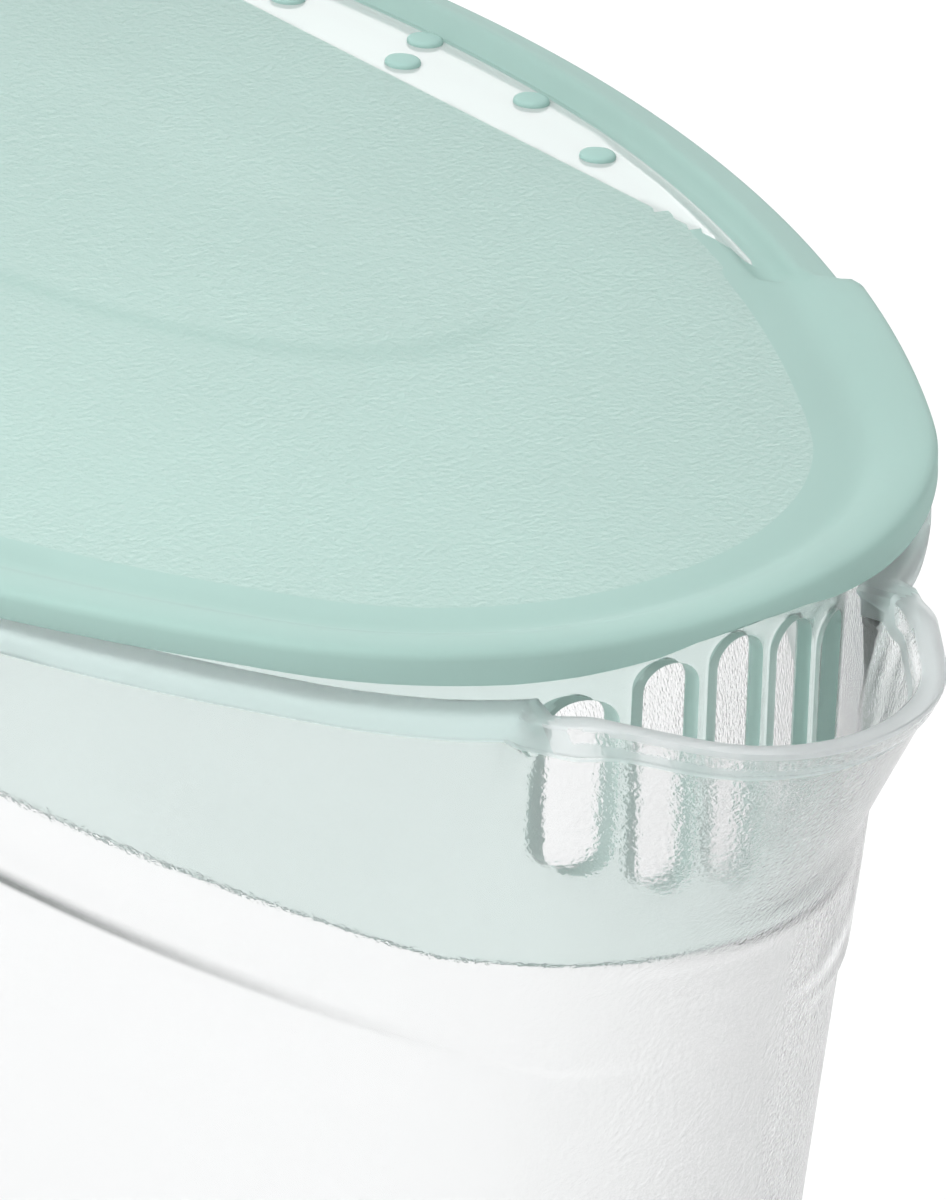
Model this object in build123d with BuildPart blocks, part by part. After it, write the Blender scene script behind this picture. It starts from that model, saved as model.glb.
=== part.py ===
"""Oval refrigerator-door pitcher with a lift-off lid and a slotted strainer under it.

Millimetres. The origin is the middle of the base. +X points at the spout, +Z is up.
"""
import os
from math import atan, cos, hypot, sin

from build123d import *

# Overall
total_height = 222.0
lid_length = 190.0
lid_width = 105.0
lid_nose_radius = 35.7

# Lid
lid_thickness = 2.4
lid_edge_round = 0.5
flange_width = 4.0
groove_width = 2.6
groove_depth = 1.4
panel_drop = 0.7
bevel_step_x = 57.0
bevel_setback = 0.9
facet_fold_y = 38.6
facet_inset = 5.4
facet_fall = 0.8
dot_radius = 1.4
dot_height = 0.7
dot_places = ((24.4, 41.6), (12.6, 44.5), (1.1, 41.0), (-1.8, 45.4), (-14.6, 41.9), (-27.0, 42.2))
tab_reach = 13.0
tab_width = 28.0
rib_depth = 5.0
rib_wall = 1.4
rib_front_x = 70.0

# Strainer
strainer_inset = 5.3
strainer_nose_radius = 21.0
strainer_tip_inset = 1.4
strainer_wall = 1.8
strainer_depth = 25.2
strainer_draft = 1.6
strainer_rear_depth = 5.6
strainer_level_x = 82.0
strainer_slope_x = 6.0
strainer_fit = 0.3
slot_count = 5
slot_width = 4.66
slot_pitch = 5.65
slot_top_gap = 1.1
slot_foot_gap = 5.2
slot_row_crown = 0.019

# Jug
jug_wall = 1.6
rim_proud = 1.2
rim_height = 2.8
shoulder_depth = 26.0
shoulder_width = 98.0
shoulder_front_reach = 93.9
shoulder_front_nose = 21.3
shoulder_rear_reach = 91.0
shoulder_rear_nose = 33.0
base_width = 84.0
base_front_reach = 58.0
base_front_nose = 15.0
base_rear_reach = 83.0
base_rear_nose = 28.0
base_round = 5.0
base_thickness = 2.6
crease_proud = 0.8
crease_fade = 0.4
crease_level = 11.0
crease_front = 30.2
crease_bend_x = 26.0
crease_front_x = 88.0

# Spout
spout_overhang = 13.9
spout_tip_radius = 11.3
spout_root_radius = 8.0
spout_half_width = 17.2
spout_root_back = 3.5
spout_depth = 25.0
spout_foot_radius = 17.0
spout_foot_half_width = 19.5
spout_dip = 3.2
spout_dip_start_x = 68.0

# Handle
handle_reach = 134.0
handle_top_drop = 13.0
handle_height = 142.0
handle_width = 22.0
handle_bar = 13.0
handle_lean = 14.0
handle_round = 4.5
handle_corner = 22.0
handle_end_x = 70.0

# Heights and reaches worked out from the sizes above
rim_top = total_height - lid_thickness
lid_reach = lid_length / 2
spout_reach = lid_reach + spout_overhang
shoulder_z = rim_top - shoulder_depth
rib_inset = strainer_wall + strainer_draft * rib_depth / strainer_depth + strainer_fit


def side_join(reach, nose, half_width):
    """Where the nose arc of an oval meets its side arc, and the middle of that side arc."""
    centre = reach - nose
    side_radius = (centre**2 + half_width**2 - nose**2) / (2 * (half_width - nose))
    drop = side_radius - half_width
    span = hypot(centre, drop)
    join = (centre + nose * centre / span, nose * drop / span)
    half_turn = atan(centre / drop) / 2
    middle = (side_radius * sin(half_turn), side_radius * cos(half_turn) - drop)
    return join, middle


def oval(width, front_reach, front_nose, rear_reach, rear_nose, inset=0.0):
    """A closed oval of six tangent arcs, moved inwards all round by the inset."""
    half = width / 2 - inset
    front_tip = front_reach - inset
    rear_tip = rear_reach - inset
    front, front_middle = side_join(front_tip, front_nose - inset, half)
    rear, rear_middle = side_join(rear_tip, rear_nose - inset, half)
    with BuildSketch() as section:
        with BuildLine():
            ThreePointArc((front[0], -front[1]), (front_tip, 0), front)
            ThreePointArc(front, front_middle, (0, half))
            ThreePointArc((0, half), (-rear_middle[0], rear_middle[1]), (-rear[0], rear[1]))
            ThreePointArc((-rear[0], rear[1]), (-rear_tip, 0), (-rear[0], -rear[1]))
            ThreePointArc((-rear[0], -rear[1]), (-rear_middle[0], -rear_middle[1]), (0, -half))
            ThreePointArc((0, -half), (front_middle[0], -front_middle[1]), (front[0], -front[1]))
        make_face()
    return section.sketch


def lid_outline(inset=0.0):
    return oval(lid_width, lid_reach, lid_nose_radius, lid_reach, lid_nose_radius, inset)


def strainer_outline(inset=0.0):
    return oval(
        lid_width - 2 * strainer_inset,
        lid_reach - strainer_tip_inset,
        strainer_nose_radius,
        lid_reach - strainer_inset,
        lid_nose_radius - strainer_inset,
        inset,
    )


def shoulder_outline(inset=0.0, wider=0.0):
    return oval(
        shoulder_width + 2 * wider,
        shoulder_front_reach,
        shoulder_front_nose,
        shoulder_rear_reach,
        shoulder_rear_nose,
        inset,
    )


def base_outline(inset=0.0, wider=0.0):
    return oval(
        base_width + 2 * wider,
        base_front_reach,
        base_front_nose,
        base_rear_reach,
        base_rear_nose,
        inset,
    )


def lip_outline(reach, tip_radius, half_width, root_radius, root_x, inset=0.0):
    """A pouring lip seen from above: a round tip between two round shoulders."""
    with BuildSketch() as section:
        with Locations((reach - tip_radius, 0)):
            Circle(tip_radius - inset)
        with Locations((root_x, half_width - root_radius), (root_x, root_radius - half_width)):
            Circle(root_radius - inset)
        make_hull()
    return section.sketch


def spout_outline(inset=0.0):
    root_x = lid_reach - spout_root_back
    return lip_outline(spout_reach, spout_tip_radius, spout_half_width, spout_root_radius, root_x, inset)


def spout_foot_outline(inset=0.0):
    """The nose of the front wall, where the spout grows out of it."""
    tip_x = shoulder_front_reach - spout_foot_radius
    return lip_outline(
        shoulder_front_reach, spout_foot_radius, spout_foot_half_width, spout_root_radius, tip_x, inset
    )


def wall_solid(inset=0.0, floor=0.0, wider=0.0):
    """The jug's outer form, or with an inset its hollow, or wider on its long sides only."""
    with BuildPart() as form:
        with BuildSketch(Plane.XY.offset(floor)):
            add(base_outline(inset, wider))
        with BuildSketch(Plane.XY.offset(shoulder_z)):
            add(shoulder_outline(inset, wider))
        loft(ruled=True)
        with BuildSketch(Plane.XY.offset(shoulder_z)):
            add(shoulder_outline(inset, wider))
        with BuildSketch(Plane.XY.offset(rim_top)):
            add(lid_outline(rim_proud + inset))
        loft(ruled=True)
        with BuildSketch(Plane.XY.offset(rim_top - spout_depth)):
            add(spout_foot_outline(inset))
        with BuildSketch(Plane.XY.offset(rim_top)):
            add(spout_outline(rim_proud + inset))
        loft(ruled=True)
    return form.part


def rim_line(raised=0.0):
    """The rim's edge seen from the side, level at the rear and dipping to the spout."""
    far = 2 * lid_length
    top = rim_top + raised
    dip = spout_dip * (far - spout_dip_start_x) / (spout_reach - spout_dip_start_x)
    return ((-far, top), (spout_dip_start_x, top), (far, top - dip))


def band_below(points, depth):
    """A sheet of the given depth under a line drawn in side view, as wide as the jug."""
    lowered = [(x, z - depth) for x, z in reversed(points)]
    with BuildPart() as sheet:
        with BuildSketch(Plane.XZ):
            with BuildLine():
                Polyline(*points, *lowered, close=True)
            make_face()
        extrude(amount=lid_width, both=True)
    return sheet.part


def handle_profile(bar, corner):
    """The handle's side view, or with the bar's thickness the gap for the fingers."""
    top = rim_top - handle_top_drop
    foot = top - handle_height
    with BuildSketch() as profile:
        with BuildLine():
            Polyline(
                (-handle_end_x, top - bar),
                (bar - handle_reach, top - bar),
                (bar + handle_lean - handle_reach, foot + bar),
                (-handle_end_x, foot + bar),
                close=True,
            )
        make_face()
        fillet(profile.vertices().sort_by(Axis.X)[:2], corner)
    return profile.sketch


# Jug body
outer_wall = wall_solid()

with BuildPart() as rim_bead:
    with BuildSketch(Plane.XY.offset(rim_top)):
        add(lid_outline())
        add(spout_outline())
    extrude(amount=-spout_depth)
    add(band_below(rim_line(), rim_height), mode=Mode.INTERSECT)

with BuildPart() as crease_band:
    add(wall_solid(crease_fade, wider=crease_proud + crease_fade))
    crease_line = (
        (-lid_length, rim_top - crease_level),
        (crease_bend_x, rim_top - crease_level),
        (crease_front_x, rim_top - crease_front),
        (lid_length, rim_top - crease_front),
    )
    add(band_below(crease_line, total_height), mode=Mode.SUBTRACT)

with BuildPart() as jug_body:
    add(outer_wall)
    fillet(jug_body.edges().group_by(Axis.Z)[0], base_round)
    add(crease_band.part)
    add(rim_bead.part)
    add(wall_solid(jug_wall, base_thickness), mode=Mode.SUBTRACT)
    add(band_below(rim_line(total_height), total_height), mode=Mode.SUBTRACT)

# Handle, cut to the rear wall that it is welded to
with BuildPart() as handle:
    with BuildSketch(Plane.XZ):
        add(handle_profile(0.0, handle_corner))
        add(handle_profile(handle_bar, handle_corner - handle_bar), mode=Mode.SUBTRACT)
    extrude(amount=handle_width / 2, both=True)
    long_edges = handle.faces().filter_by(Axis.Y).edges().filter_by_position(Axis.X, -handle_reach, -handle_end_x - 1)
    fillet(long_edges, handle_round)
    add(outer_wall, mode=Mode.SUBTRACT)
    add(crease_band.part, mode=Mode.SUBTRACT)

# Strainer
with BuildPart() as strainer:
    for inset in (0.0, strainer_wall):
        with BuildSketch(Plane.XY.offset(rim_top)):
            add(strainer_outline(inset))
        with BuildSketch(Plane.XY.offset(rim_top - strainer_depth)):
            add(strainer_outline(inset + strainer_draft))
        loft(ruled=True, mode=Mode.SUBTRACT if inset else Mode.ADD)
    foot_line = (
        (-lid_length, rim_top - strainer_rear_depth),
        (strainer_slope_x, rim_top - strainer_rear_depth),
        (strainer_level_x, rim_top - strainer_depth),
        (lid_length, rim_top - strainer_depth),
    )
    add(band_below(foot_line, total_height), mode=Mode.SUBTRACT)
    for number in range(slot_count):
        slot_y = (number - (slot_count - 1) / 2) * slot_pitch
        slot_top = rim_top - slot_top_gap - slot_row_crown * slot_y**2
        slot_foot = rim_top - strainer_depth + slot_foot_gap + slot_row_crown * slot_y**2
        with BuildSketch(Plane.YZ.offset(strainer_level_x - strainer_nose_radius)):
            with Locations((slot_y, (slot_top + slot_foot) / 2)):
                SlotOverall(slot_top - slot_foot, slot_width, rotation=90)
        extrude(amount=lid_length, mode=Mode.SUBTRACT)

# Lid
with BuildPart() as facet_cutter:
    with BuildSketch(Plane.YZ.offset(-lid_reach)):
        with BuildLine():
            Polyline(
                (facet_fold_y, total_height),
                (facet_fold_y, total_height - panel_drop),
                (lid_width / 2 - facet_inset, total_height - panel_drop - facet_fall),
                (lid_width / 2, total_height - panel_drop - facet_fall),
                (lid_width / 2, total_height),
                close=True,
            )
        make_face()
    extrude(amount=lid_length)
    mirror(about=Plane.XZ)
    with BuildSketch(Plane.XY.offset(rim_top)):
        add(lid_outline(facet_inset))
    extrude(amount=lid_thickness, mode=Mode.INTERSECT)

with BuildPart() as lid:
    with BuildSketch(Plane.XY.offset(rim_top)):
        add(lid_outline())
        with Locations((bevel_step_x - lid_length, 0)):
            Rectangle(2 * lid_length, 2 * lid_width, mode=Mode.SUBTRACT)
        add(lid_outline(bevel_setback))
        with Locations((-lid_reach, 0)):
            RectangleRounded(2 * tab_reach, tab_width, tab_reach / 2)
    extrude(amount=lid_thickness)
    fillet(lid.edges().group_by(Axis.Z)[-1], lid_edge_round)
    with BuildSketch(Plane.XY.offset(total_height)):
        add(lid_outline(flange_width))
    extrude(amount=-panel_drop, mode=Mode.SUBTRACT)
    with BuildSketch(Plane.XY.offset(total_height)):
        add(lid_outline(flange_width))
        add(lid_outline(flange_width + groove_width), mode=Mode.SUBTRACT)
    extrude(amount=-groove_depth, mode=Mode.SUBTRACT)
    add(facet_cutter.part, mode=Mode.SUBTRACT)
    for side in (1, -1):
        for dot_x, dot_y in dot_places:
            fall = facet_fall * (dot_y - facet_fold_y) / (lid_width / 2 - facet_inset - facet_fold_y)
            with BuildSketch(Plane.XY.offset(total_height - panel_drop - fall - dot_height / 2)):
                with Locations((dot_x, side * dot_y)):
                    Circle(dot_radius)
            extrude(amount=dot_height)
    with BuildSketch(Plane.XY.offset(rim_top)):
        add(strainer_outline(rib_inset))
        add(strainer_outline(rib_inset + rib_wall), mode=Mode.SUBTRACT)
        with Locations((rib_front_x + lid_reach, 0)):
            Rectangle(lid_length, lid_width, mode=Mode.SUBTRACT)
    extrude(amount=-rib_depth)

# Files
os.makedirs("parts", exist_ok=True)
pieces = {"jug_body": jug_body, "handle": handle, "strainer": strainer, "lid": lid}
for name, piece in pieces.items():
    piece.part.label = name
    export_step(piece.part, f"parts/{name}.step")
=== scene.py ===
"""The oval pitcher, dressed. Sizes are in millimetres here and become metres when a mesh is made."""
import math

import bmesh
import bpy
import numpy as np
from mathutils import Matrix


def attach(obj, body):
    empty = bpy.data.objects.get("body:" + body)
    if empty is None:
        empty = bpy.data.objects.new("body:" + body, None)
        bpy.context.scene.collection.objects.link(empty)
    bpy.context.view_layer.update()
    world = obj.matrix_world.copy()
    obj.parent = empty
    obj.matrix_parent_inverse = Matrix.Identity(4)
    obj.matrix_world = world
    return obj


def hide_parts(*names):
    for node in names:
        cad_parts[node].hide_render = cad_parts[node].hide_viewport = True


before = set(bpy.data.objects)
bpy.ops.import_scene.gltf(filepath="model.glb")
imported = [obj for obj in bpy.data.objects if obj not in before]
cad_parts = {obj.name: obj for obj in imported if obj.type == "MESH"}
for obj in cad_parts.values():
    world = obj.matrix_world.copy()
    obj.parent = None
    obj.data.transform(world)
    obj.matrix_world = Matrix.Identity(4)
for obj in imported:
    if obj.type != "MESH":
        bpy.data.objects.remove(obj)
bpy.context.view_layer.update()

MM = 0.001

# Points closer than this become one
MERGE = 0.004

# The part's own sizes
TOTAL_HEIGHT = 222.0
LID_LENGTH, LID_WIDTH, LID_NOSE = 190.0, 105.0, 35.7
LID_THICK = 2.4
RIM_TOP = TOTAL_HEIGHT - LID_THICK
SHOULDER_Z = RIM_TOP - 26.0
RIM_PROUD = 1.2
LIP_PROUD = 0.35
WALL = 1.6
FLOOR = 2.6
SPOUT_DEPTH = 25.0
FACET_FOLD = 38.6
FACET_FALL, FACET_WIDTH = 0.8, 8.5
LID_SIDE_CENTRE = 96.25
FLANGE_STEP_X, FLANGE_STEP_LEAN = 56.9, 1.13
TAB_ROOT_X, TAB_REACH, TAB_HALF_WIDTH, TAB_RADIUS = -80.0, 22.0, 8.0, 6.0
PANEL_OVAL_X, PANEL_OVAL_Y = -2.0, 12.5
PANEL_OVAL_HALF_LENGTH, PANEL_OVAL_HALF_WIDTH = 46.7, 20.6
PANEL_DROP = 0.7
CREASE_DROP, CREASE_SLOPE = 14.1, 0.3167
CREASE_BEND_X, CREASE_RUN = 26.0, 62.0
BASE_ROUND = 5
STRAINER_WIDTH = LID_WIDTH - 10.6
STRAINER_NOSE, STRAINER_CENTRE = 21.0, 72.6
RIB_DEPTH, RIB_WALL, RIB_END_X = 5.0, 1.4, 55.0

# The spout grows out of the wall from this point of the middle line on
SPOUT_CENTRE_X, SPOUT_START_X = 60.0, 62.0
SPOUT_BLEND = 6

# Handle
HANDLE_DROP, HANDLE_HEIGHT = 13.0, 142.0
HANDLE_HALF_BAR, HANDLE_HALF_WIDTH = 6.5, 11.0
HANDLE_TOP_X, HANDLE_FOOT_X = -127.0, -113.0
HANDLE_CORNER = 15.5

# Ovals as width, front reach, front nose radius, rear reach and rear nose radius
LID_OVAL = (LID_WIDTH, LID_LENGTH / 2, LID_NOSE, LID_LENGTH / 2, LID_NOSE)
SHOULDER_OVAL = (98.0, 93.9, 21.3, 91.0, 33.0)
BASE_OVAL = (84.0, 58.0, 15.0, 83.0, 28.0)
STRAINER_OVAL = (STRAINER_WIDTH, 93.6, STRAINER_NOSE, 89.7, 30.4)

# Points round each quarter of an outline: front nose, either side, rear nose
NOSE_STEPS, SIDE_STEPS, REAR_STEPS = 72, 96, 28


# Colours

def srgb(red, green, blue):
    """A colour given as 0-255, as the linear colour that a shader takes."""
    def line(value):
        value = value / 255
        return value / 12.92 if value <= 0.04045 else ((value + 0.055) / 1.055) ** 2.4
    return (line(red), line(green), line(blue), 1.0)


# Outlines

def half_oval(width, reach, nose, inset, nose_steps, side_steps):
    """The quarter outline from the tip of the nose to the widest place."""
    half = width / 2 - inset
    centre = reach - nose
    nose = nose - inset
    side = (centre**2 + half**2 - nose**2) / (2 * (half - nose))
    drop = side - half
    turn = np.linspace(0.0, math.atan2(drop, centre), nose_steps + 1)
    lean = np.linspace(math.atan2(centre, drop), 0.0, side_steps + 1)[1:]
    tip = np.stack([centre + nose * np.cos(turn), nose * np.sin(turn)], 1)
    flank = np.stack([side * np.sin(lean), side * np.cos(lean) - drop], 1)
    return np.concatenate([tip, flank])


def oval(width, front_reach, front_nose, rear_reach, rear_nose, inset=0.0):
    """A closed oval as points, counter-clockwise from the front tip."""
    front = half_oval(width, front_reach, front_nose, inset, NOSE_STEPS, SIDE_STEPS)
    rear = half_oval(width, rear_reach, rear_nose, inset, REAR_STEPS, SIDE_STEPS)
    rear = rear[::-1][1:] * (-1, 1)
    upper = np.concatenate([front, rear])
    return np.concatenate([upper, upper[1:-1][::-1] * (1, -1)])


def lid_ring(inset=0.0):
    return oval(*LID_OVAL, inset)


def shoulder_ring(inset=0.0):
    return oval(*SHOULDER_OVAL, inset)


def base_ring(inset=0.0):
    return oval(*BASE_OVAL, inset)


def strainer_ring(inset=0.0):
    return oval(*STRAINER_OVAL, inset)


def smooth_step(value, start, end):
    """0 at the start, 1 at the end and smooth between them."""
    share = np.clip((value - start) / (end - start), 0.0, 1.0)
    return share * share * (3 - 2 * share)


def smooth_max(a, b, width):
    """The larger of two values, with the corner between them rounded."""
    near = np.maximum(width - np.abs(a - b), 0.0) / width
    return np.maximum(a, b) + near * near * width / 4


# Meshes

class Skin:
    """Points and faces gathered for one object."""

    def __init__(self):
        self.points = []
        self.faces = []
        self.slots = []

    def ring(self, ring):
        start = len(self.points)
        self.points.extend(tuple(p) for p in ring)
        return list(range(start, start + len(ring)))

    def join(self, low, high, slot=0, closed=True, choose=None):
        count = len(low)
        for i in range(count if closed else count - 1):
            j = (i + 1) % count
            face = (low[i], low[j], high[j], high[i])
            self.faces.append(face)
            self.slots.append(choose(np.mean([self.points[k] for k in face], 0)) if choose else slot)

    def stack(self, rings, slot=0, closed=True, choose=None):
        rows = [self.ring(r) for r in rings]
        for low, high in zip(rows, rows[1:]):
            self.join(low, high, slot, closed, choose)
        return rows

    def cap(self, row, slot, steps):
        """Closes a row of points with shrinking rows and a middle point."""
        edge = np.array([self.points[i] for i in row])
        middle = edge.mean(0)
        last = row
        for step in range(1, steps):
            share = 1 - step / steps
            new = self.ring(middle + (edge - middle) * share)
            self.join(last, new, slot)
            last = new
        self.points.append(tuple(middle))
        tip = len(self.points) - 1
        for i in range(len(last)):
            self.faces.append((last[i], last[(i + 1) % len(last)], tip))
            self.slots.append(slot)

    def build(self, name, materials, sharp=40.0):
        mesh = bpy.data.meshes.new(name)
        mesh.from_pydata([(x * MM, y * MM, z * MM) for x, y, z in self.points], [], self.faces)
        for material in materials:
            mesh.materials.append(material)
        mesh.polygons.foreach_set("material_index", self.slots)
        work = bmesh.new()
        work.from_mesh(mesh)
        bmesh.ops.remove_doubles(work, verts=work.verts, dist=MERGE * MM)
        bmesh.ops.recalc_face_normals(work, faces=work.faces)
        work.to_mesh(mesh)
        work.free()
        mesh.polygons.foreach_set("use_smooth", [True] * len(mesh.polygons))
        mesh.set_sharp_from_angle(angle=math.radians(sharp))
        piece = bpy.data.objects.new(name, mesh)
        bpy.context.scene.collection.objects.link(piece)
        return piece


# Jug

def lip_reach(angle, share, inset):
    """How far the pouring lip reaches from the spout's centre in each direction."""
    # Rounded points as reach, half width and radius, where the lip starts and at its brim
    foot = ((16.9, 0.0, 17.0), (16.9, 11.5, 8.0), (16.9, 11.5, 8.0))
    head = ((35.1, 0.0, 13.8), (33.5, 8.0, 8.0), (31.4, 16.5, 1.2))
    facing = np.linspace(-math.pi, math.pi, 721)[:-1]
    support = np.zeros((len(angle), len(facing)))
    share = np.asarray(share)[:, None]
    for low, high in zip(foot, head):
        x, y, radius = (a + (b - a) * share for a, b in zip(low, high))
        here = x * np.cos(facing) + y * np.abs(np.sin(facing)) + radius - LIP_PROUD * share - inset
        support = np.maximum(support, here)
    turn = np.cos(facing[None, :] - np.asarray(angle)[:, None])
    reach = np.where(turn > 0.02, support / np.maximum(turn, 0.02), 1e6)
    return reach.min(1)


def wall_level(height, inset=0.0, rim=RIM_TOP):
    """The jug's wall at each column's own height, moved inwards by the inset."""
    def between(height):
        lower = np.clip(height / SHOULDER_Z, 0.0, 1.0)[:, None]
        upper = np.clip((height - SHOULDER_Z) / (RIM_TOP - SHOULDER_Z), 0.0, 1.3)[:, None]
        return low + (middle - low) * lower + (top - middle) * upper
    low = base_ring(inset)
    middle = shoulder_ring(inset)
    top = lid_ring(RIM_PROUD + inset)
    flat = sum(between(height + shift) for shift in (-5, -2.5, 0, 2.5, 5)) / 5
    ends = smooth_step(height, 0.0, 12.0)[:, None]
    flat = between(height) * (1 - ends) + flat * ends
    if inset < 1.0:
        flat = flat + crease_swell(flat, height)
    chosen = (flat[:, 0] > SPOUT_START_X) & (height > RIM_TOP - SPOUT_DEPTH - SPOUT_BLEND)
    if chosen.any():
        arm = flat[chosen] - (SPOUT_CENTRE_X, 0.0)
        reach = np.hypot(arm[:, 0], arm[:, 1])
        angle = np.arctan2(arm[:, 1], arm[:, 0])
        foot = RIM_TOP - SPOUT_DEPTH
        brim = np.broadcast_to(rim, height.shape)[chosen]
        share = np.clip((height[chosen] - foot) / (brim - foot), 0.0, 1.1)
        lip = lip_reach(angle, share, inset * LIP_PROUD / RIM_PROUD if inset < 0 else inset)
        lip = lip * smooth_step(height[chosen], foot - SPOUT_BLEND, foot)
        joined = smooth_max(reach, lip, 2.2)
        flat[chosen] = (SPOUT_CENTRE_X, 0.0) + arm * (joined / reach)[:, None]
    return np.concatenate([flat, height[:, None]], 1)


def crease_height(x):
    """The crease is level at the rear and slopes down towards the spout."""
    return RIM_TOP - CREASE_DROP - CREASE_SLOPE * np.clip(x - CREASE_BEND_X, 0.0, CREASE_RUN)


def crease_swell(flat, height):
    """The wall stands proud above the sloping crease on the long sides."""
    tangent = np.roll(flat, -1, 0) - np.roll(flat, 1, 0)
    tangent /= np.maximum(np.hypot(tangent[:, 0], tangent[:, 1]), 1e-6)[:, None]
    outward = np.stack([tangent[:, 1], -tangent[:, 0]], 1)
    side = np.abs(outward[:, 1])
    full = 1.2 * side - 0.4
    fade = np.clip((RIM_TOP - height) / 26.0, 0.0, 1.0)
    proud = smooth_max(full * fade, np.zeros_like(full), 0.25)
    above = smooth_step(height - crease_height(flat[:, 0]), -0.7, 0.5)
    return outward * (proud * above)[:, None]


def rim_height(x):
    """The rim dips towards the spout."""
    stations = (
        -200.0, 44.0, 58.0, 66.0, 74.0, 82.0, 86.0, 89.0, 92.5, 94.0, 95.5, 98.0, 100.5, 104.0, 108.9,
    )
    drops = (0.0, 0.0, 0.85, 1.25, 1.68, 2.2, 2.56, 2.75, 2.8, 2.45, 2.15, 2.25, 2.5, 2.75, 3.05)
    return RIM_TOP - np.interp(x, stations, drops)


def soften(values, passes):
    """Evens out a closed row of numbers."""
    for _ in range(passes):
        values = (np.roll(values, 1) + 2 * values + np.roll(values, -1)) / 4
    return values


def bead_slot(middle):
    """The bead runs along the rim; on the pouring lip only the top edge is smooth, and it gets a grey copy
    of the white plastic as painted shade.
    """
    if middle[0] < 92.5:
        return 1
    return 0 if rim_height(middle[0]) - middle[2] > 0.45 else 3


def outer_wall(columns, rim, crease):
    """Rings of the outer wall from the foot's round edge up to the rim, close together at the crease."""
    rings = []
    for angle in np.radians((0, 15, 30, 45, 60, 75)):
        height = np.full(columns, BASE_ROUND * (1 - math.cos(angle)))
        rings.append(wall_level(height, BASE_ROUND * (1 - math.sin(angle))))
    for share in np.linspace(0.0, 1.0, 26)[:-1]:
        rings.append(wall_level(BASE_ROUND + (crease - 1.2 - BASE_ROUND) * share))
    for shift in (-1.2, -0.9, -0.6, -0.35, -0.1, 0.15, 0.4, 0.7):
        rings.append(wall_level(crease + shift))
    for share in np.linspace(0.0, 1.0, 44)[1:]:
        rings.append(wall_level(crease + 0.7 + (rim - 2.9 - crease - 0.7) * share, 0.0, rim))
    return rings


def inner_wall(columns, rim):
    """Rings of the inner wall from the rim down to the floor's round edge."""
    rings = []
    for share in np.linspace(0.0, 1.0, 40):
        rings.append(wall_level(rim - 3.0 - (rim - 3.0 - 180.0) * share, WALL, rim))
    for share in np.linspace(0.0, 1.0, 20)[1:]:
        rings.append(wall_level(np.full(columns, 180.0 - (180.0 - FLOOR - 4) * share), WALL))
    for angle in np.radians((18, 36, 54, 72, 90)):
        height = np.full(columns, FLOOR + 4 * (1 - math.sin(angle)))
        rings.append(wall_level(height, WALL + 4 * (1 - math.cos(angle))))
    return rings


def make_jug(materials):
    """One closed shell: outer wall, bead of the rim, inner wall, floor and foot."""
    skin = Skin()
    columns = len(lid_ring())
    level = np.full(columns, RIM_TOP)
    rim = soften(rim_height(wall_level(level)[:, 0]), 3)
    crease = crease_height(shoulder_ring()[:, 0])
    outer = skin.stack(outer_wall(columns, rim, crease))
    # Height from the rim's line and inset from the wall's outer face, up the outside and down the inside
    bead = (
        (-2.65, -0.02), (-2.5, -0.2), (-2.4, -0.6), (-2.2, -0.98), (-1.9, -1.16), (-1.5, -1.2), (-1.0, -1.2),
        (-0.6, -1.15), (-0.3, -0.95), (-0.1, -0.6), (-0.02, -0.15), (0.0, 0.4), (-0.02, 0.9), (-0.08, 1.35),
        (-0.22, 1.6), (-0.5, 1.74), (-1.0, 1.74), (-2.0, 1.6),
    )
    bead_rows = skin.stack([wall_level(rim + drop, inset, rim) for drop, inset in bead], choose=bead_slot)
    skin.join(outer[-1], bead_rows[0], 1)
    inner = skin.stack(inner_wall(columns, rim), 2)
    skin.join(bead_rows[-1], inner[0], 1)
    skin.cap(inner[-1], 2, 8)
    foot = skin.stack([
        wall_level(np.zeros(columns), BASE_ROUND),
        wall_level(np.zeros(columns), 7.4),
        wall_level(np.full(columns, 0.15), 7.9),
        wall_level(np.full(columns, 0.65), 8.5),
        wall_level(np.full(columns, 0.8), 9.2),
    ], 0)
    skin.cap(foot[-1], 0, 8)
    return skin.build("jug_shell", materials)


# Lid

LID_EDGE = (
    # front inset, front height, rear inset, rear height
    (0.30, -2.40, 1.20, -2.40),
    (0.06, -2.30, 0.96, -2.30),
    (0.00, -2.05, 0.90, -2.05),
    (0.00, -1.30, 0.90, -1.75),
    (0.00, -0.72, 0.90, -1.40),
    (0.08, -0.40, 0.98, -1.18),
    (0.30, -0.16, 1.20, -1.02),
    (0.70, -0.04, 1.60, -0.86),
    (1.30, 0.00, 2.20, -0.64),
    (2.20, -0.05, 2.90, -0.36),
    (3.00, -0.15, 3.60, -0.10),
    (3.60, -0.30, 3.95, -0.03),
    (4.10, -0.48, 4.25, -0.16),
    (4.55, -0.66, 4.55, -0.62),
    (4.95, -0.80, 4.90, -1.12),
    (5.35, -0.89, 5.30, -1.36),
    (5.80, -0.93, 5.80, -1.42),
    (6.40, -0.92, 6.30, -1.38),
    (7.10, -0.87, 6.75, -1.14),
    (7.80, -0.83, 7.10, -0.88),
    (8.50, -0.81, 7.60, -0.81),
    (9.10, -0.80, 8.60, -0.80),
)


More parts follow.
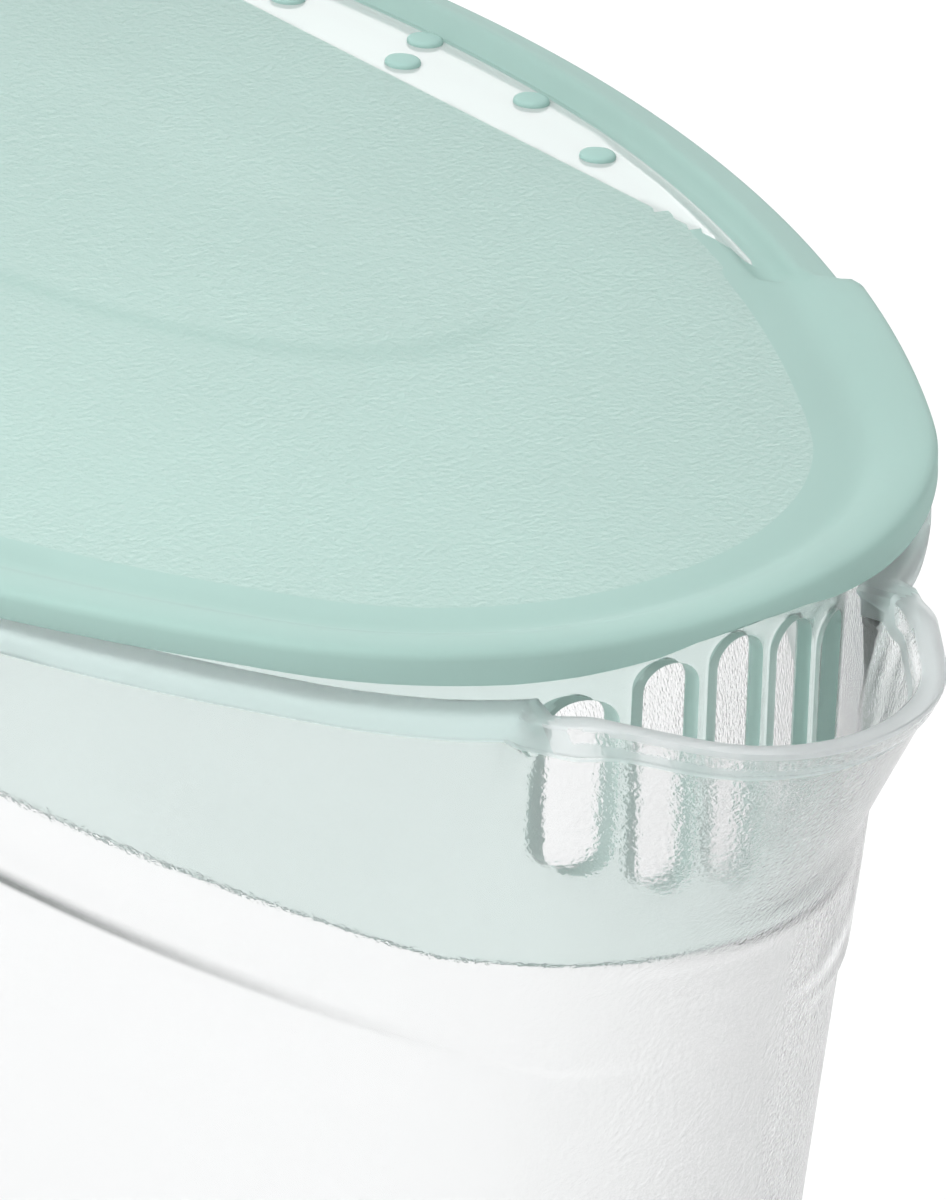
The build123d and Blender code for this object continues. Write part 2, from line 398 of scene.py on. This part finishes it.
def tab_push(flat, inset):
    """The lifting tab at the rear, two round corners on the outline."""
    if inset > 3.2:
        return flat
    root = (TAB_ROOT_X, 0.0)
    rear = flat[:, 0] < -75.0
    arm = flat[rear] - root
    reach = np.hypot(arm[:, 0], arm[:, 1])
    angle = np.arctan2(arm[:, 1], arm[:, 0])
    facing = np.linspace(-math.pi, math.pi, 721)[:-1]
    radius = TAB_RADIUS - min(inset, 2.0) * 0.9
    support = np.zeros(len(facing))
    for y in (TAB_HALF_WIDTH, -TAB_HALF_WIDTH):
        support = np.maximum(support, -TAB_REACH * np.cos(facing) + y * np.sin(facing) + radius)
    turn = np.cos(facing[None, :] - angle[:, None])
    tab = np.where(turn > 0.02, support / np.maximum(turn, 0.02), 1e6).min(1)
    share = 1 - smooth_step(inset, 1.2, 3.2)
    joined = reach + (smooth_max(reach, tab, 2.0) - reach) * share
    flat = flat.copy()
    flat[rear] = root + arm * (joined / reach)[:, None]
    return flat


def panel_height(x, y):
    """The textured panel, its two grip facets and the soft edge of the shallow oval in it."""
    fall = FACET_FALL * np.maximum(np.abs(y) - FACET_FOLD, 0.0) / FACET_WIDTH
    along = (x - PANEL_OVAL_X) / PANEL_OVAL_HALF_LENGTH
    far = np.hypot(along, (y - PANEL_OVAL_Y) / PANEL_OVAL_HALF_WIDTH)
    oval_share = 1 - smooth_step((far - 1.0) * 20.0, -0.7, 0.7)
    fade = 1 - smooth_step(y, 14.0, 24.0)
    return -PANEL_DROP - fall + 0.2 * oval_share * fade - 0.1


def meet_fold(flat):
    """Gives a ring a point exactly where it crosses the fold of a grip facet."""
    flat = flat.copy()
    near = np.abs(np.abs(flat[:, 1]) - FACET_FOLD) < 0.3
    flat[near, 1] = np.sign(flat[near, 1]) * FACET_FOLD
    side = np.abs(flat[:, 1]) - FACET_FOLD
    after = np.roll(side, -1)
    for i in np.where(side * after < 0)[0]:
        j = (i + 1) % len(flat)
        share = side[i] / (side[i] - after[i])
        flat[i if share < 0.5 else j] = flat[i] + (flat[j] - flat[i]) * share
    return flat


def cut_at_fold(skin, choose):
    """Splits the faces that a fold crosses from corner to corner, so that its line is straight."""
    faces, slots = [], []
    for face, slot in zip(skin.faces, skin.slots):
        sides = [abs(skin.points[k][1]) - FACET_FOLD for k in face]
        on_fold = [abs(side) < 0.0001 for side in sides]
        crossed = len(face) == 4 and min(sides) < -0.0001 and max(sides) > 0.0001
        if crossed and (on_fold[0] and on_fold[2] or on_fold[1] and on_fold[3]):
            a, b, c, d = face if on_fold[0] and on_fold[2] else face[1:] + face[:1]
            for part in ((a, b, c), (a, c, d)):
                faces.append(part)
                slots.append(choose(np.mean([skin.points[k] for k in part], 0)))
        else:
            faces.append(face)
            slots.append(slot)
    skin.faces, skin.slots = faces, slots


def low_edge(flat):
    """The lid's edge is thinner over the spout and a little deeper beside it."""
    stations = (0.0, 5.0, 8.0, 11.0, 14.0, 18.0, 22.0, 26.0, 32.0)
    lifts = (0.85, 0.6, 0.1, -0.15, -0.35, -0.45, -0.35, -0.25, 0.0)
    return np.where(flat[:, 0] > 70.0, np.interp(np.abs(flat[:, 1]), stations, lifts), 0.0)


def lid_edge_ring(front_inset, front_z, rear_inset, rear_z):
    """A ring of the lid's edge, with one section at the front and another behind a step in the flange."""
    front = lid_ring(front_inset)
    rear = tab_push(lid_ring(rear_inset), rear_inset - 0.9)
    step = FLANGE_STEP_X - FLANGE_STEP_LEAN * rear_inset
    share = smooth_step((front[:, 0] + rear[:, 0]) / 2, step - 0.5, step + 0.5)
    flat = rear + (front - rear) * share[:, None]
    height = rear_z + (front_z - rear_z) * share
    if rear_inset > 5.0:
        flat = meet_fold(flat)
        height = np.minimum(height, panel_height(flat[:, 0], flat[:, 1]))
    else:
        height = height + low_edge(flat) * np.clip((-0.7 - height) / 1.5, 0.0, 1.0)
    return np.concatenate([flat, (TOTAL_HEIGHT + height)[:, None]], 1)


def facet_slot(middle):
    """The grip facets lie outside the folds, and the textured panel between them."""
    return 2 if abs(middle[1]) > FACET_FOLD else 0


def edge_slot(middle):
    """The grip facets run out to the groove, and the panel starts at its inner edge."""
    reach = math.hypot(middle[0], abs(middle[1]) + LID_SIDE_CENTRE)
    inset = LID_WIDTH / 2 - reach + LID_SIDE_CENTRE
    if abs(middle[1]) > FACET_FOLD and inset > 6.0 and middle[2] < TOTAL_HEIGHT - 0.6:
        return 2
    return 1


def make_lid(materials):
    """One closed shell: edge and groove, panel with its facets, and a flat underside."""
    skin = Skin()
    edge = skin.stack([lid_edge_ring(*row) for row in LID_EDGE], choose=edge_slot)
    cut_at_fold(skin, edge_slot)
    panel = []
    insets = np.concatenate([np.arange(9.7, 22.0, 0.6), np.arange(22.0, 34.0, 0.9)])
    for inset in insets:
        panel.append(meet_fold(lid_ring(inset)))
    last = panel[-1]
    for share in np.linspace(1.0, 0.0, 44)[1:-1]:
        panel.append(last * share)
    rings = []
    for flat in panel:
        height = TOTAL_HEIGHT + panel_height(flat[:, 0], flat[:, 1])
        rings.append(np.concatenate([flat, height[:, None]], 1))
    rows = skin.stack(rings, 0, choose=facet_slot)
    skin.join(edge[-1], rows[0], 0, choose=facet_slot)
    skin.cap(rows[-1], 0, 2)
    cut_at_fold(skin, facet_slot)
    under = skin.stack([
        lid_edge_ring(front_inset, -LID_THICK, rear_inset, -LID_THICK)
        for front_inset, rear_inset in ((0.3, 1.2), (2.0, 2.6), (4.0, 4.2), (9.0, 9.0), (20.0, 20.0))
    ], 1)
    skin.cap(under[-1], 1, 6)
    return skin.build("lid_shell", materials, 50.0)


# Length and width places of the dots on one facet
DOTS = ((24.4, 41.6), (12.6, 44.5), (1.1, 41.0), (-1.8, 45.4), (-14.6, 41.9), (-27.0, 42.2))


def make_dots(material):
    """Raised grip dots on both facets, low pads with a rounded edge."""
    skin = Skin()
    turns = np.linspace(0, 2 * math.pi, 41)[:-1]
    profile = (
        (1.38, -0.25), (1.40, 0.10), (1.37, 0.26), (1.26, 0.38), (1.05, 0.44), (0.70, 0.47), (0.30, 0.48),
    )
    for side in (1, -1):
        for x, y in DOTS:
            base = TOTAL_HEIGHT + float(panel_height(np.array(x), np.array(y)))
            slope = FACET_FALL / FACET_WIDTH * side
            rings = []
            for radius, lift in profile:
                across = radius * np.sin(turns)
                height = base + lift - slope * across
                rings.append(np.stack([x + radius * np.cos(turns), side * y + across, height], 1))
            rows = skin.stack(rings)
            skin.cap(rows[0], 0, 2)
            skin.cap(rows[-1], 0, 2)
    return skin.build("grip_dots", [material], 60.0)


def make_rib(material):
    """The rib under the lid, just inside the strainer."""
    skin = Skin()
    inset = STRAINER_WALL + STRAINER_DRAFT * RIB_DEPTH / STRAINER_DEPTH + 0.3
    outer, inner = strainer_ring(inset), strainer_ring(inset + RIB_WALL)
    middle = (outer + inner) / 2
    order = np.where(outer[:, 0] < RIB_END_X)[0]
    top, bottom = RIM_TOP + 0.02, RIM_TOP - RIB_DEPTH
    section = (
        (outer, top), (outer, bottom + 0.4), (outer * 0.8 + inner * 0.2, bottom + 0.08), (middle, bottom),
        (outer * 0.2 + inner * 0.8, bottom + 0.08), (inner, bottom + 0.4), (inner, top), (outer, top),
    )
    rows = []
    for flat, height in section:
        ring = np.concatenate([flat[order], np.full((len(order), 1), height)], 1)
        rows.append(skin.ring(ring))
    for low, high in zip(rows, rows[1:]):
        skin.join(low, high, 0, False)
    for end in (0, -1):
        skin.faces.append(tuple(row[end] for row in rows[:-1]))
        skin.slots.append(0)
    return skin.build("lid_rib", [material])


# Strainer

SLOT_WIDTH, SLOT_PITCH, SLOT_COUNT = 4.0, 5.65, 5
STRAINER_DEPTH, STRAINER_DRAFT, STRAINER_WALL = 25.2, 1.6, 1.8
STRAINER_FOOT_WALL = 0.5


def collar_x(y, z, inset):
    """Where the collar's nose stands at that width and height."""
    drop = (RIM_TOP - z) / STRAINER_DEPTH
    radius = STRAINER_NOSE - inset - STRAINER_DRAFT * drop
    centre, half = STRAINER_CENTRE, STRAINER_WIDTH / 2
    side = (centre**2 + half**2 - STRAINER_NOSE**2) / (2 * (half - STRAINER_NOSE))
    sink = side - half
    nose = centre + np.sqrt(np.maximum(radius**2 - y**2, 0.01))
    flank = np.sqrt(np.maximum((side - STRAINER_NOSE + radius) ** 2 - (np.abs(y) + sink) ** 2, 0.01))
    return np.where(np.abs(y) > radius * math.sin(math.atan2(sink, centre)), flank, nose)


def close_outline(upper, lower):
    """Two ends of an outline, joined by straight sides of seven points each."""
    rise = np.linspace(0, 1, 9)[1:-1, None]
    left = upper[-1] + (lower[0] - upper[-1]) * rise
    right = lower[-1] + (upper[0] - lower[-1]) * rise
    return np.concatenate([upper, left, lower, right])


def slot_outline(number, grow):
    """A slot as points in width and height, from the right side over the top to the left and back."""
    y = (number - 2) * SLOT_PITCH
    top = RIM_TOP - 0.8 - 0.023 * y * y
    foot = RIM_TOP - STRAINER_DEPTH + 5.2 + 0.019 * y * y
    radius = SLOT_WIDTH / 2
    turn = np.linspace(0, math.pi, 13)
    wide, high = (radius + grow) * np.cos(turn), (radius + grow) * np.sin(turn)
    upper = np.stack([y + wide, top - radius + high], 1)
    lower = np.stack([y - wide, foot + radius - high], 1)
    return close_outline(upper, lower)


def cell_end(start, end, side, limit):
    """The end of a cell: up one side to the limit, level across it and down the other side."""
    corner = math.pi * 0.25
    far_corner = math.pi * 0.75
    points = []
    for a in np.linspace(0, math.pi, 13):
        if a < corner:
            points.append((start, side + (limit - side) * a / corner))
        elif a <= far_corner:
            points.append((start + (end - start) * (a - corner) / (math.pi * 0.5), limit))
        else:
            points.append((end, limit - (limit - side) * (a - far_corner) / corner))
    return np.array(points)


def cell_outline(number):
    """The cell round a slot, with a point for each point of the slot's outline."""
    y = (number - 2) * SLOT_PITCH
    right, left = y + SLOT_PITCH / 2, y - SLOT_PITCH / 2
    low = RIM_TOP - STRAINER_DEPTH
    upper = cell_end(right, left, RIM_TOP - 4.0, RIM_TOP + 0.02)
    lower = cell_end(left, right, low + 8.0, low)
    return close_outline(upper, lower)


def side_heights():
    """Heights of the points on a cell's upright side, from the top down."""
    cell = cell_outline(2)
    right = cell[np.abs(cell[:, 0] - SLOT_PITCH / 2) < 1e-6]
    return np.unique(np.round(right[:, 1], 6))[::-1]


def on_collar(outline, inset):
    """An outline's points, in width and height, set on the collar's nose."""
    return np.stack([collar_x(outline[:, 0], outline[:, 1], inset), outline[:, 0], outline[:, 1]], 1)


def cell_rings(number):
    """Rings from a cell's outer skin in to its slot, through the wall and back out on the inner skin."""
    cell = cell_outline(number)
    loops = [cell]
    for share in (0.35, 0.7, 1.0):
        loops.append(cell + (slot_outline(number, 0.28) - cell) * share)
    opening = slot_outline(number, 0.0)
    chamfer = slot_outline(number, 0.09)
    rings = [on_collar(loop, 0.0) for loop in loops]
    rings.append(on_collar(chamfer, 0.08))
    for depth in (0.3, 0.7, 1.1, 1.5):
        rings.append(on_collar(opening, depth))
    rings.append(on_collar(chamfer, 1.72))
    for loop in loops[::-1]:
        at_foot = loop[:, 1] < RIM_TOP - STRAINER_DEPTH + 0.01
        rings.append(on_collar(loop, np.where(at_foot, STRAINER_FOOT_WALL, STRAINER_WALL)))
    return rings


def add_cell(skin, number):
    """One slot with the piece of the collar round it. The slot's own walls get the edge material, a darker,
    greener copy of the collar's mint as painted shade.
    """
    rows = []
    for position, ring in enumerate(cell_rings(number)):
        rows.append(skin.ring(ring))
        if position:
            skin.join(rows[-2], rows[-1], 1 if 5 <= position <= 8 else 0)
    # Foot and top edges of the cell, between its outer and inner skins
    cell = cell_outline(number)
    outer, inner = rows[0], rows[-1]
    for i in range(len(cell)):
        j = (i + 1) % len(cell)
        level = cell[i, 1] == cell[j, 1] and abs(cell[i, 0] - cell[j, 0]) > 0.01
        if level and (cell[i, 1] > RIM_TOP - 0.5 or cell[i, 1] < RIM_TOP - STRAINER_DEPTH + 0.01):
            skin.faces.append((outer[i], outer[j], inner[j], inner[i]))
            skin.slots.append(0)


def add_sides(skin):
    """The rest of the collar, from one edge of the slots round the rear to the other."""
    heights = side_heights()
    shares = (heights - heights[-1]) / (heights[0] - heights[-1])
    edge = SLOT_PITCH * SLOT_COUNT / 2
    upper_outer = strainer_ring()
    lower_inner = strainer_ring(STRAINER_WALL + STRAINER_DRAFT)
    inside = ~((upper_outer[:, 0] > 72.0) & (np.abs(lower_inner[:, 1]) < edge + 0.35))
    order = np.where(inside)[0]
    foot_x = (-200.0, 6.0, 82.0, 200.0)
    foot_drop = (5.6, 5.6, STRAINER_DEPTH, STRAINER_DEPTH)

    def column(i, column_heights, rings):
        points = []
        for z, (top_ring, low_ring) in zip(column_heights, rings):
            drop = (RIM_TOP - z) / STRAINER_DEPTH
            flat = top_ring[i] + (low_ring[i] - top_ring[i]) * drop
            points.append((flat[0], flat[1], z))
        return points

    def edge_column(sign, insets):
        return [(float(collar_x(edge, z, inset)), sign * edge, z) for z, inset in zip(heights, insets)]

    skins = []
    for inset, foot_inset in ((0.0, 0.0), (STRAINER_WALL, STRAINER_FOOT_WALL)):
        insets = [inset] * (len(heights) - 1) + [foot_inset]
        rings = [(strainer_ring(depth), strainer_ring(depth + STRAINER_DRAFT)) for depth in insets]
        columns = [edge_column(1, insets)]
        for i in order:
            foot = RIM_TOP - float(np.interp(upper_outer[i, 0], foot_x, foot_drop))
            columns.append(column(i, foot + (heights[0] - foot) * shares, rings))
        columns.append(edge_column(-1, insets))
        skins.append(skin.stack(columns, 0, False))
    outer, inner = skins
    # The first end face gets the collar's painted-shade copy of the mint, the last end face the plain collar
    # plastic
    for a, b, c, d in zip(outer, outer[1:], inner, inner[1:]):
        for end, slot in ((0, 1), (-1, 0)):
            skin.faces.append((a[end], b[end], d[end], c[end]))
            skin.slots.append(slot)


def make_strainer(materials):
    skin = Skin()
    for number in range(SLOT_COUNT):
        add_cell(skin, number)
    add_sides(skin)
    return skin.build("strainer_collar", materials, 35.0)


# Handle

def handle_path():
    """The bar's middle line as place and direction, out at the top, down and back in at the foot."""
    top = RIM_TOP - HANDLE_DROP - HANDLE_HALF_BAR
    foot = RIM_TOP - HANDLE_DROP - HANDLE_HEIGHT + HANDLE_HALF_BAR
    slope = math.atan2(HANDLE_FOOT_X - HANDLE_TOP_X, top - foot)
    top_turn, foot_turn = math.pi / 2 + slope, math.pi / 2 - slope
    top_x = HANDLE_TOP_X + HANDLE_CORNER * math.tan(top_turn / 2)
    foot_x = HANDLE_FOOT_X + HANDLE_CORNER * math.tan(foot_turn / 2)

    def bend(x, z, a):
        away, up = -math.cos(a), -math.sin(a)
        return (x - HANDLE_CORNER * math.sin(a), z + HANDLE_CORNER * math.cos(a), away, up)

    path = [(x, top, -1.0, 0.0) for x in np.linspace(-93.0, top_x, 12)]
    path.extend(bend(top_x, top - HANDLE_CORNER, a) for a in np.linspace(0, top_turn, 16)[1:])
    lower = [bend(foot_x, foot + HANDLE_CORNER, a) for a in np.linspace(top_turn, math.pi, 16)]
    last, first = path[-1], lower[0]
    for share in np.linspace(0, 1, 26)[1:-1]:
        x = last[0] + (first[0] - last[0]) * share
        z = last[1] + (first[1] - last[1]) * share
        path.append((x, z, last[2], last[3]))
    path.extend(lower)
    path.extend((x, foot, 1.0, 0.0) for x in np.linspace(foot_x, -86.5, 9)[1:])
    return path


def make_handle(material):
    """A rounded bar swept from the rear wall and back to it, wider where it meets the wall."""
    path = handle_path()
    turns = np.linspace(0, 2 * math.pi, 49)[:-1]
    power = 0.55
    c, s = np.cos(turns), np.sin(turns)
    rings = []
    for number, (x, z, along_x, along_z) in enumerate(path):
        gap = min(number, len(path) - 1 - number)
        flare = 1.0 + 0.10 * math.exp(-gap / 1.6)
        wide = HANDLE_HALF_WIDTH * flare
        out = HANDLE_HALF_BAR * flare * np.sign(c) * np.abs(c) ** power
        across = wide * np.sign(s) * np.abs(s) ** power
        out = out * (0.95 + 0.05 * np.cos(across / wide * math.pi / 2))
        rings.append(np.stack([x - out * along_z, across, z + out * along_x], 1))
    skin = Skin()
    rows = skin.stack(rings)
    skin.cap(rows[0], 0, 3)
    skin.cap(rows[-1], 0, 3)
    return skin.build("grip_handle", [material], 50.0)


# Materials

# Share by which a plastic's colour drifts either way
TINT = 0.05


def node(tree, kind, **inputs):
    made = tree.nodes.new(kind)
    for name, value in inputs.items():
        made.inputs[name.replace("_", " ")].default_value = value
    return made


def moulded(name, color, roughness, transmission, grain, grain_height, strength, specular=0.5, ior=1.30):
    """Moulded plastic: a colour that drifts a little, and a fine grain in the surface."""
    material = bpy.data.materials.new(name)
    material.use_nodes = True
    tree = material.node_tree
    shader = tree.nodes["Principled BSDF"]
    shader.inputs["Roughness"].default_value = roughness
    shader.inputs["IOR"].default_value = ior
    shader.inputs["Transmission Weight"].default_value = transmission
    shader.inputs["Specular IOR Level"].default_value = specular
    place = tree.nodes.new("ShaderNodeTexCoord")
    drift = node(tree, "ShaderNodeTexNoise", Scale=28.0, Detail=2.0)
    tree.links.new(place.outputs["Object"], drift.inputs["Vector"])
    mix = tree.nodes.new("ShaderNodeMix")
    mix.data_type = "RGBA"
    mix.inputs["A"].default_value = tuple(c * (1 - TINT) for c in color[:3]) + (1.0,)
    mix.inputs["B"].default_value = tuple(min(1.0, c * (1 + TINT)) for c in color[:3]) + (1.0,)
    tree.links.new(drift.outputs["Fac"], mix.inputs["Factor"])
    tree.links.new(mix.outputs["Result"], shader.inputs["Base Color"])
    fine = node(tree, "ShaderNodeTexNoise", Scale=1000.0 / grain, Detail=2.0)
    tree.links.new(place.outputs["Object"], fine.inputs["Vector"])
    bump = node(tree, "ShaderNodeBump", Strength=strength, Distance=grain_height * MM)
    tree.links.new(fine.outputs["Fac"], bump.inputs["Height"])
    tree.links.new(bump.outputs["Normal"], shader.inputs["Normal"])
    return material


def combine(tree, operation, first, second):
    """What a maths node of that kind makes of two sockets."""
    made = tree.nodes.new("ShaderNodeMath")
    made.operation = operation
    tree.links.new(first, made.inputs[0])
    tree.links.new(second, made.inputs[1])
    return made.outputs[0]


def ramp(tree, value, start, end):
    """A number that runs smoothly from 0 to 1 while the value goes from start to end."""
    step = tree.nodes.new("ShaderNodeMapRange")
    step.interpolation_type = "SMOOTHSTEP"
    step.inputs["From Min"].default_value = start
    step.inputs["From Max"].default_value = end
    tree.links.new(value, step.inputs["Value"])
    return step.outputs["Result"]


def blend(tree, factor, first, second):
    """A colour between the first, which is a socket, and the second, which is a colour."""
    mix = tree.nodes.new("ShaderNodeMix")
    mix.data_type = "RGBA"
    mix.inputs["B"].default_value = second
    tree.links.new(factor, mix.inputs["Factor"])
    tree.links.new(first, mix.inputs["A"])
    return mix.outputs["Result"]


def paint_crease_shade(material):
    """Painted shade: darkens the jug's colour along the ledge of the crease, over one sloping plane, so
    behind X 26, where the ledge turns level, the painted line climbs on to the rim.
    """
    tree = material.node_tree
    shader = tree.nodes["Principled BSDF"]
    place = tree.nodes.new("ShaderNodeTexCoord")
    across = tree.nodes.new("ShaderNodeVectorMath")
    across.operation = "DOT_PRODUCT"
    across.inputs[1].default_value = (CREASE_SLOPE, 0.0, 1.0)
    tree.links.new(place.outputs["Object"], across.inputs[0])
    ledge = (RIM_TOP - CREASE_DROP + CREASE_SLOPE * CREASE_BEND_X) * MM
    below = ramp(tree, across.outputs["Value"], ledge - 1.00 * MM, ledge - 0.35 * MM)
    above = ramp(tree, across.outputs["Value"], ledge + 1.60 * MM, ledge + 0.20 * MM)
    along = tree.nodes.new("ShaderNodeSeparateXYZ")
    tree.links.new(place.outputs["Object"], along.inputs[0])
    fade = ramp(tree, along.outputs["X"], 86 * MM, 54 * MM)
    share = combine(tree, "MULTIPLY", combine(tree, "MULTIPLY", below, above), fade)
    plain = shader.inputs["Base Color"].links[0].from_socket
    # The dark grey mixed in here is the painted shade of the ledge
    tree.links.new(blend(tree, share, plain, srgb(72, 78, 76)), shader.inputs["Base Color"])


# Studio

def seen_ray(tree, path):
    """1 for rays that see the studio: from the camera, off gloss or through the plastic."""
    direct = combine(tree, "MAXIMUM", path.outputs["Is Camera Ray"], path.outputs["Is Glossy Ray"])
    return combine(tree, "MAXIMUM", direct, path.outputs["Is Transmission Ray"])


def make_world():
    """White behind the object, a little darker on the camera's side in gloss and through the plastic."""
    world = bpy.data.worlds.new("studio")
    bpy.context.scene.world = world
    world.use_nodes = True
    tree = world.node_tree
    tree.nodes.clear()
    path = tree.nodes.new("ShaderNodeLightPath")
    place = tree.nodes.new("ShaderNodeTexCoord")
    ahead = tree.nodes.new("ShaderNodeVectorMath")
    ahead.operation = "DOT_PRODUCT"
    ahead.inputs[1].default_value = (-0.79, 0.61, -0.15)
    tree.links.new(place.outputs["Generated"], ahead.inputs[0])
    shade = tree.nodes.new("ShaderNodeMapRange")
    shade.interpolation_type = "SMOOTHSTEP"
    shade.inputs["From Min"].default_value = -0.25
    shade.inputs["From Max"].default_value = 0.60
    shade.inputs["To Min"].default_value = 0.92
    shade.inputs["To Max"].default_value = 1.0
    tree.links.new(ahead.outputs["Value"], shade.inputs["Value"])
    bright = combine(tree, "MAXIMUM", shade.outputs["Result"], path.outputs["Is Camera Ray"])
    seen = node(tree, "ShaderNodeBackground", Color=(1, 1, 1, 1))
    tree.links.new(bright, seen.inputs["Strength"])
    lit = node(tree, "ShaderNodeBackground", Color=(0.99, 0.996, 1, 1), Strength=0.80)
    mix = tree.nodes.new("ShaderNodeMixShader")
    tree.links.new(seen_ray(tree, path), mix.inputs["Fac"])
    tree.links.new(lit.outputs[0], mix.inputs[1])
    tree.links.new(seen.outputs[0], mix.inputs[2])
    out = tree.nodes.new("ShaderNodeOutputWorld")
    tree.links.new(mix.outputs[0], out.inputs["Surface"])


def set_up(holder, right, up, back, place):
    """Stands a lamp or the camera at a place, with its own three directions."""
    bpy.context.scene.collection.objects.link(holder)
    holder.matrix_world = Matrix((
        (right[0], up[0], back[0], place[0]),
        (right[1], up[1], back[1], place[1]),
        (right[2], up[2], back[2], place[2]),
        (0, 0, 0, 1),
    ))


def make_lamp(name, place, aim, size, power):
    """A soft rectangular lamp. Places and sizes are in metres."""
    lamp = bpy.data.lights.new(name, "AREA")
    lamp.shape = "RECTANGLE"
    lamp.size, lamp.size_y = size
    lamp.energy = power
    holder = bpy.data.objects.new(name, lamp)
    away = np.array(place) - np.array(aim)
    away = away / np.linalg.norm(away)
    side = np.cross((0, 0, 1), away)
    side /= np.linalg.norm(side)
    set_up(holder, side, np.cross(away, side), away, place)
    return holder


def make_floor():
    """A pale floor that looks a little brighter than it lights the object."""
    skin = Skin()
    steps = np.linspace(-6000, 6000, 25)
    skin.stack([[(x, y, -0.02) for x in steps] for y in steps], 0, False)
    material = bpy.data.materials.new("pale_floor")
    material.use_nodes = True
    tree = material.node_tree
    shader = tree.nodes["Principled BSDF"]
    shader.inputs["Base Color"].default_value = (0.93, 0.93, 0.93, 1)
    shader.inputs["Roughness"].default_value = 0.8
    shader.inputs["Specular IOR Level"].default_value = 0.1
    path = tree.nodes.new("ShaderNodeLightPath")
    glow = node(tree, "ShaderNodeEmission", Color=(1, 1, 1, 1), Strength=0.04)
    add = tree.nodes.new("ShaderNodeAddShader")
    mix = tree.nodes.new("ShaderNodeMixShader")
    tree.links.new(shader.outputs[0], add.inputs[0])
    tree.links.new(glow.outputs[0], add.inputs[1])
    tree.links.new(seen_ray(tree, path), mix.inputs["Fac"])
    tree.links.new(shader.outputs[0], mix.inputs[1])
    tree.links.new(add.outputs[0], mix.inputs[2])
    out = tree.nodes["Material Output"]
    tree.links.new(mix.outputs[0], out.inputs["Surface"])
    floor = skin.build("floor", [material])


def make_camera():
    """The photo's viewing angle on the spout end."""
    camera = bpy.data.cameras.new("camera")
    camera.sensor_fit = "VERTICAL"
    camera.sensor_height = 36.0
    camera.lens = 499.1
    camera.clip_end = 50.0
    holder = bpy.data.objects.new("camera", camera)
    right = (0.616, 0.7877, -0.0104)
    up = (-0.3325, 0.272, 0.903)
    back = (0.7141, -0.5528, 0.4294)
    set_up(holder, right, up, back, np.array((929.39, -671.38, 731.75)) * MM)
    bpy.context.scene.camera = holder


bpy.context.scene.view_settings.view_transform = "Standard"
make_camera()
make_world()
make_lamp("key", (-0.6, -0.9, 1.5), (0, 0, 0.15), (0.9, 0.9), 9.0)
make_lamp("fill", (1.2, -0.3, 0.9), (0, 0, 0.15), (0.8, 0.8), 4.5)
near = make_lamp("near", (0.035, -0.10, 0.36), (0.035, -0.03, 0.222), (0.08, 0.08), 0.15)
near.visible_glossy = False
near.visible_transmission = False
backdrop = make_lamp("backdrop_glow", (-2.142, 1.86, 0.72), (0, 0, 0.22), (3.6, 0.95), 21.5)
backdrop.visible_transmission = False
make_floor()

jug_plastic = moulded(
    "jug_frosted", srgb(254, 255, 255), 0.13, 0.93,
    grain=0.38, grain_height=0.085, strength=1.0, specular=0.35,
)
# Painted shade along the crease's ledge on the jug's frosted plastic
paint_crease_shade(jug_plastic)
# Partly real, the bead has no grain; painted shade and colour cast: a milkier, mint-tinted copy of the white
# plastic, so that the rim reads greyer and greener than the wall
rim_painted_shade = moulded(
    "jug_rim_smooth_painted_shade", srgb(241, 255, 252), 0.42, 0.80,
    grain=1.5, grain_height=0.02, strength=0.3, specular=0.12,
)
# Painted shade: a grey copy of the jug's white plastic for the top edge of the pouring lip
lip_painted_shade = moulded(
    "jug_lip_edge_painted_shade", srgb(214, 219, 219), 0.34, 0.50,
    grain=1.5, grain_height=0.02, strength=0.3,
)
inner_plastic = moulded(
    "jug_inside", srgb(255, 255, 255), 0.12, 0.97,
    grain=1.5, grain_height=0.01, strength=0.2, specular=0.15,
)
panel_mint = moulded(
    "lid_panel_textured", srgb(171, 198, 191), 0.40, 0.35,
    grain=0.55, grain_height=0.14, strength=0.9,
)
smooth_mint = moulded(
    "lid_smooth", srgb(171, 200, 193), 0.60, 0.35,
    grain=1.4, grain_height=0.02, strength=0.2, specular=0.18,
)
# Partly real, the facets are polished and catch the backdrop lamp; painted reflection: their mint is made
# much whiter than the panel's
facet_mint_painted_reflection = moulded(
    "lid_facet_polished_painted_reflection", srgb(214, 222, 220), 0.10, 0.35,
    grain=1.4, grain_height=0.01, strength=0.2,
)
dot_mint = moulded(
    "dot_mint", srgb(160, 192, 185), 0.6, 0.10,
    grain=0.6, grain_height=0.02, strength=0.2, specular=0.1,
)
collar_mint = moulded(
    "strainer_mint", srgb(235, 247, 244), 0.16, 0.86,
    grain=1.4, grain_height=0.02, strength=0.2, ior=1.18,
)
# Painted shade: a darker, greener copy of the collar's mint for the slot walls and one end face of the
# collar
edge_mint_painted_shade = moulded(
    "strainer_edge_painted_shade", srgb(200, 229, 222), 0.40, 0.35,
    grain=1.4, grain_height=0.02, strength=0.2,
)
handle_plastic = moulded(
    "handle_frosted", srgb(244, 247, 246), 0.28, 0.60,
    grain=0.9, grain_height=0.04, strength=0.4,
)

jug = make_jug([jug_plastic, rim_painted_shade, inner_plastic, lip_painted_shade])
handle = make_handle(handle_plastic)
lid = make_lid([panel_mint, smooth_mint, facet_mint_painted_reflection])
dots = make_dots(dot_mint)
rib = make_rib(smooth_mint)
strainer = make_strainer([collar_mint, edge_mint_painted_shade])

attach(jug, "jug")
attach(handle, "jug")
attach(lid, "lid")
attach(dots, "lid")
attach(rib, "lid")
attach(strainer, "lid")
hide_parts("jug_body")
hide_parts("handle")
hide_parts("lid")
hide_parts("strainer")
